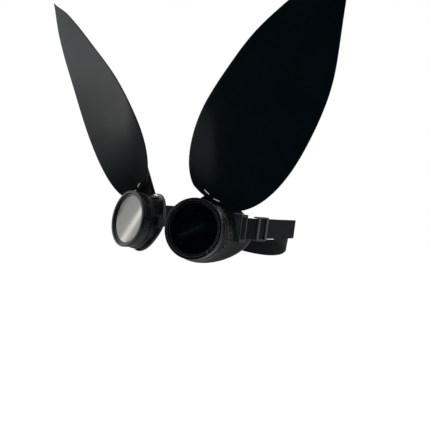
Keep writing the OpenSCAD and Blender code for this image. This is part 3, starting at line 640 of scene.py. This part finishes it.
def ear_bend(side, b, a):
    """How far the ear bends back on the nose side of its fold line: a ramp with a soft start, fading at
    both ends of the fold."""
    along = (fold_b - fold_a) / np.linalg.norm(fold_b - fold_a)
    past = along[1] * (a - fold_a[0]) - along[0] * (b - fold_a[1])
    rise = np.clip((a - fold_low) / (fold_high - fold_low), 0, 1)
    ramp = (past + np.sqrt(past ** 2 + fold_soft ** 2) - fold_soft) / 2
    return fold_rise[side] * ramp * np.sin(np.pi * rise)


def ear_sway(side, a, half):
    """How one ear hangs a few millimetres its own way: what its tip leans to the temple, a smooth step,
    and what its half width gains, a bell about its belly and a smooth step that fades as the tip
    narrows."""
    belly, tip, crown = ear_hang[side]
    top = eased((a - crown_from) / crown_run) * eased(half / crown_half)
    bulge = belly * np.exp(-((a - belly_at) / belly_run) ** 2)
    return tip * eased((a - tip_from) / tip_run), bulge + crown * top


def in_blade(points):
    """Points given as (across, back through the sheet, along) the ear, in the cup's frame."""
    ear_up = np.array((np.sin(ear_lean), -np.sin(ear_pitch) * np.cos(ear_lean),
                       np.cos(ear_pitch) * np.cos(ear_lean)))
    ear_side = np.array((np.cos(ear_lean), np.sin(ear_pitch) * np.sin(ear_lean),
                         -np.cos(ear_pitch) * np.sin(ear_lean)))
    ear_rear = np.array((0, np.cos(ear_pitch), np.sin(ear_pitch)))
    return ear_at + np.asarray(points) @ np.stack((ear_side, ear_rear, ear_up))


ear_cloth, shader, place = finish_of("ear_cloth", Specular_IOR_Level=0.2)
pebble = place.node("ShaderNodeTexVoronoi", Vector=place, Scale=1300.0)[0]
wear = place.node("ShaderNodeTexNoise", Vector=place, Scale=38.0, Detail=5.0)[0]
join(wear.blend((0.0003, 0.0030, 0.0044), (0.0008, 0.0046, 0.0062)), shader.inputs["Base Color"])
join(wear * 0.1 + 0.19, shader.inputs["Roughness"])
bumped(shader, pebble, 0.00002, 0.15)

edge_in = np.array((0.0, 0.00012, 0.0004, 0.0008))
edge_share = np.array((0.0, 0.62, 0.93, 1.0))
for side in sides:
    s = ear_from + (ear_to - ear_from) * np.linspace(0, 1, ear_rows) ** ear_crowding
    a = (s * ear_len)[:, None]
    half = ear_half(s)[:, None]
    lift = np.clip((a - ear_from * ear_len) / root_run, 0, 1)
    lean, gain = ear_sway(side, a, half)
    half = (half + gain) * np.sqrt(1 - (1 - lift) ** 2 * root_cut)
    inner = np.linspace(-1, 1, ear_cols)[1:-1] * (half - edge_in[-1])
    left_b, right_b = -half + edge_in, half - edge_in[::-1]
    b = np.concatenate((left_b, inner, right_b), 1) + lean
    thick = np.concatenate((edge_share, np.ones(ear_cols - 2), edge_share[::-1])) * ear_t / 2
    bend = ear_bend(side, b, a)
    a_full = np.broadcast_to(a, b.shape)
    front = np.stack((b, bend + ear_t / 2 - thick, a_full), -1)
    rear = np.stack((b, bend + ear_t / 2 + thick, a_full), -1)[:, 1:-1]
    grid = np.concatenate((front, rear[:, ::-1]), 1)
    ear = mesh_of(side + "_leaf_ear", [skin(in_cup(side, in_blade(grid)), loop=False)], ear_cloth, 60)
    mount(ear, side + "_cup", "ear_sheet", side + "_ear")


# Ear brackets, staples and rivets
# A folded sheet-metal bracket, painted black, carries each ear. Flat staples clinch the ear to
# its upright leg, and split rivets hold its foot to the top of the cup.
bracket_paint, shader, place = finish_of("bracket_paint", Base_Color=(0.003, 0.0035, 0.004),
                                         Specular_IOR_Level=0.3)
chips = place.node("ShaderNodeTexNoise", Vector=place, Scale=700.0, Detail=4.0)[0]
join(chips * 0.25 + 0.28, shader.inputs["Roughness"])
bumped(shader, chips, 0.00005, 0.4)

# Half metallic, so the pale steel colour also shows as a matte grey: partly the steel's own colour, partly
# a painted glint.
bright_steel, shader, place = finish_of("bright_steel", Base_Color=(0.86, 0.82, 0.75), Metallic=0.5)
swirl = place.node("ShaderNodeTexNoise", Vector=place, Scale=1800.0, Detail=3.0)[0]
join(swirl * 0.25 + 0.12, shader.inputs["Roughness"])
bumped(shader, swirl, 0.00003, 0.5)

for side in sides:
    bracket = copy_of(side + "_ear_bracket", side + "_folded_bracket", bracket_paint)
    mount(bracket, side + "_cup", "bracket_metal", side + "_ear_bracket")
    for node, name in (("_ear_staples", "_clinched_staples"), ("_ear_rivets", "_split_rivets")):
        piece = copy_of(side + node, side + name, bright_steel, 0.00015)
        mount(piece, side + "_cup", "bright_steel", side + node)


# Strap ends and head strap
# Black elastic webbing, 20 mm wide, woven with fine lengthwise ribs. Each end turns round the
# lug's middle bar, passes the slide and hangs on as a free tail; the head strap goes round behind.
layer_gap, under_gap = 0.0001, 0.00025
outer_v = -flange_t / 2 - under_gap - web_t / 2
inner_v = outer_v - web_t - layer_gap
mid_v = (outer_v + inner_v) / 2
over_v = flange_t / 2 - bar_drop + under_gap / 2 + web_t / 2
slot_u = (bar_w + slot_w) / 2
loop_round, loop_corner = web_t * 0.7, web_t * 0.42
layer_half = (web_t + layer_gap) / 2
stack_half = web_t + layer_gap / 2
lug_reach = 0.0152
slide_lead, slide_len, tail_len = 0.0012, 0.0195, 0.062
seam_at = slide_lead + slide_len / 2
head_straight, head_depth, head_drop, head_drop_power = 0.028, 0.184, 0.0177, 1.5
path_step, oval_steps, start_steps, fade_steps = 0.0004, 361, 40, 180
web_edge, web_edge_share, web_cols = 0.0005, 0.25, 30
cup_splay = np.arctan2(cup_place("left")[1][0, 1], cup_place("left")[1][0, 0])
strap_dir = np.array((np.sin(cup_splay), np.cos(cup_splay)))
strap_normal = np.array((np.cos(cup_splay), -np.sin(cup_splay)))


def uv(u, v):
    """A place u along the lug's flange and v outward from it, as (out, along the strap)."""
    c, s = np.cos(lug_turn), np.sin(lug_turn)
    return np.array((u * s + v * c, u * c - v * s))


def turn_point(k):
    """Where a layer of webbing k outward from the middle of the two turns from the flange to the strap."""
    miter = (uv(0, 1) + strap_normal) / (1 + uv(0, 1) @ strap_normal)
    return uv(lug_reach, mid_v) + k * miter


def even(points, step):
    """A path walked again at even steps."""
    points = np.asarray(points)
    run = np.concatenate(([0], np.cumsum(np.linalg.norm(np.diff(points, axis=0), axis=1))))
    at = np.linspace(0, run[-1], int(run[-1] / step) + 1)
    return np.stack([np.interp(at, run, points[:, k]) for k in range(points.shape[1])], -1)


def webbing(name, centre, across, material):
    """A woven band along a centre line: its section is a flat loop with round edges, square to the path.
    Each point keeps how far it lies along and across, for the weave."""
    tangent = np.gradient(centre, axis=0)
    tangent /= np.linalg.norm(tangent, axis=1)[:, None]
    normal = np.cross(tangent, across)
    normal /= np.linalg.norm(normal, axis=1)[:, None]
    w = np.concatenate(([0.0], np.linspace(web_edge, web_w - web_edge, web_cols), [web_w])) - web_w / 2
    thick = np.concatenate(([web_edge_share], np.ones(web_cols), [web_edge_share])) * web_t / 2
    w_loop, n_loop = np.concatenate((w, w[::-1])), np.concatenate((thick, -thick[::-1]))
    grid = centre[:, None] + across[:, None] * w_loop[:, None] + normal[:, None] * n_loop[:, None]
    run = np.concatenate(([0], np.cumsum(np.linalg.norm(np.diff(centre, axis=0), axis=1))))
    shape = grid.shape[:2]
    weave = np.stack((np.broadcast_to(run[:, None], shape), np.broadcast_to(w_loop, shape),
                      np.zeros(shape)), -1)
    points, faces = skin(grid, loop=False)
    mesh = bpy.data.meshes.new(name)
    mesh.from_pydata(points.tolist(), [], faces)
    mesh.attributes.new("weave", "FLOAT_VECTOR", "POINT").data.foreach_set("vector", weave.ravel())
    work = bmesh.new()
    work.from_mesh(mesh)
    bmesh.ops.recalc_face_normals(work, faces=work.faces)
    work.to_mesh(mesh)
    work.free()
    mesh.shade_smooth()
    mesh.set_sharp_from_angle(angle=np.radians(50))
    mesh.materials.append(material)
    obj = bpy.data.objects.new(name, mesh)
    bpy.context.scene.collection.objects.link(obj)
    return obj


rib_pitch, pick_pitch = 0.00085, 0.0006
strap_weave, shader, place = finish_of("strap_weave", Roughness=0.85, Sheen_Weight=0.03,
                                       Sheen_Roughness=0.4, Specular_IOR_Level=0.1)
spots = place.node("ShaderNodeAttribute", {"attribute_name": "weave"})[1]
along, across = place.node("ShaderNodeSeparateXYZ", Vector=spots)[:2]
rib = (across * (2 * np.pi / rib_pitch)).math("SINE")
pick = (along * (2 * np.pi / pick_pitch)).math("SINE")
crossing = rib * pick * 0.5 + rib * 0.35 + 0.5
fuzz = place.node("ShaderNodeTexNoise", Vector=place, Scale=800.0, Detail=3.0)[0]
shade = (crossing * 0.6 + fuzz * 0.4).math("MINIMUM", 1.0)
join(shade.blend((0.0015, 0.0025, 0.003), (0.010, 0.013, 0.0145)), shader.inputs["Base Color"])
bumped(shader, crossing * 0.8 + fuzz * 0.2, 0.00018, 0.8)

strap_path = rounded([
    turn_point(-layer_half) + strap_dir * seam_at, turn_point(-layer_half),
    uv(-slot_u + loop_round * 2, inner_v), uv(-slot_u + loop_round / 2, inner_v + loop_round / 2),
    uv(-slot_u, inner_v + loop_round * 2), uv(-slot_u, over_v - loop_corner),
    uv(-slot_u + loop_corner, over_v), uv(slot_u - loop_corner, over_v),
    uv(slot_u, over_v - loop_corner), uv(slot_u, outer_v + loop_round * 0.75),
    uv(slot_u + loop_round * 0.75, outer_v), turn_point(layer_half),
    turn_point(layer_half) + strap_dir * (slide_lead + slide_len + tail_len),
], 0.002, 5, closed=False)

for side in sides:
    plan = even(strap_path, path_step)
    centre = in_cup(side, in_lug(np.column_stack((plan, np.zeros(len(plan))))))
    lug_up = in_cup(side, in_lug((0, 0, 1))) - in_cup(side, in_lug((0, 0, 0)))
    strap = webbing(side + "_strap_tail", centre, np.broadcast_to(lug_up, centre.shape), strap_weave)
    mount(strap, side + "_cup", "webbing", side + "_strap_end")


def strap_place(reach):
    """Where the inner layer of the left strap lies, reach behind the lug's turn."""
    flat = turn_point(-layer_half) + strap_dir * reach
    return in_cup("left", in_lug((flat[0], flat[1], 0)))


seam_point, oval_point = strap_place(seam_at + layer_gap), strap_place(seam_at + head_straight)
u = np.linspace(0, np.pi, oval_steps)
oval = np.stack((oval_point[0] * np.cos(u), oval_point[1] + (head_depth - oval_point[1]) * np.sin(u),
                 oval_point[2] - head_drop * np.sin(u) ** head_drop_power), -1)
start = np.linspace(seam_point, oval_point, start_steps)[:-1]
centre = np.concatenate((start, oval, (start * (-1, 1, 1))[::-1]))
tangent = np.gradient(centre, axis=0)
tangent /= np.linalg.norm(tangent, axis=1)[:, None]
level = np.cross(tangent, up)
level /= np.linalg.norm(level, axis=1)[:, None]
steep = np.cross(level, tangent)
count = np.arange(len(centre))
fade = np.clip(np.minimum(count, count[::-1]) - start_steps, 0, fade_steps) / fade_steps
roll = (np.arcsin(np.sin(cup_splay) * np.sin(strap_rise)) * (1 - fade))[:, None]
head_band = webbing("head_band", centre, steep * np.cos(roll) + level * np.sin(roll), strap_weave)
# The band rides on the bridge and doesn't bend, so a cup that swings parts its slide from it.
mount(head_band, "bridge", "webbing", "head_strap")


# Strap slides
# Three-bar slides of satin black plastic: two bars lie over the webbing and one under it. Each
# can be pushed along its strap to set the length.
slide_bar_w, slide_bar_t, slide_rail_h, slide_gap = 0.004, 0.0017, 0.0014, 0.0003
slide_in = stack_half + slide_gap
slide_out = slide_in + slide_bar_t
slide_in_half = web_w / 2 + slide_gap

slide_plastic, shader, place = finish_of("slide_plastic", Specular_IOR_Level=0.2)
cloud = place.node("ShaderNodeTexNoise", Vector=place, Scale=300.0, Detail=4.0)[0]
edge_light = edge_highlight(place, cloud)
# Edges that bend outward are painted lighter: a painted highlight on the bars' rounded edges.
join(edge_light.blend((0.002, 0.003, 0.0035), (0.026, 0.031, 0.033)), shader.inputs["Base Color"])
join(cloud * 0.2 + 0.3, shader.inputs["Roughness"])
bumped(shader, cloud, 0.00005, 0.4)

slide_from = turn_point(0) + strap_dir * slide_lead
for side in sides:
    mid = slide_len / 2
    patches = []
    for low in (-slide_in_half - slide_rail_h, slide_in_half):
        patches.append(prism(box_outline(-slide_out, slide_out, 0, slide_len), low, low + slide_rail_h))
    for x0, x1, y0 in ((slide_in, slide_out, 0), (slide_in, slide_out, slide_len - slide_bar_w),
                       (-slide_out, -slide_in, mid - slide_bar_w / 2)):
        patches.append(prism(box_outline(x0, x1, y0, y0 + slide_bar_w), -slide_in_half - slide_rail_h / 2,
                             slide_in_half + slide_rail_h / 2))
    turned_in = []
    for grid in patches:
        xy = grid[..., :1] * strap_normal + grid[..., 1:2] * strap_dir + slide_from
        turned_in.append(skin(in_cup(side, in_lug(np.concatenate((xy, grid[..., 2:]), -1))), loop=False))
    slide = mesh_of(side + "_three_bar_slide", turned_in, slide_plastic)
    softened(slide, 0.0006)
    mount(slide, side + "_slide", "slide_plastic", side + "_strap_slide")
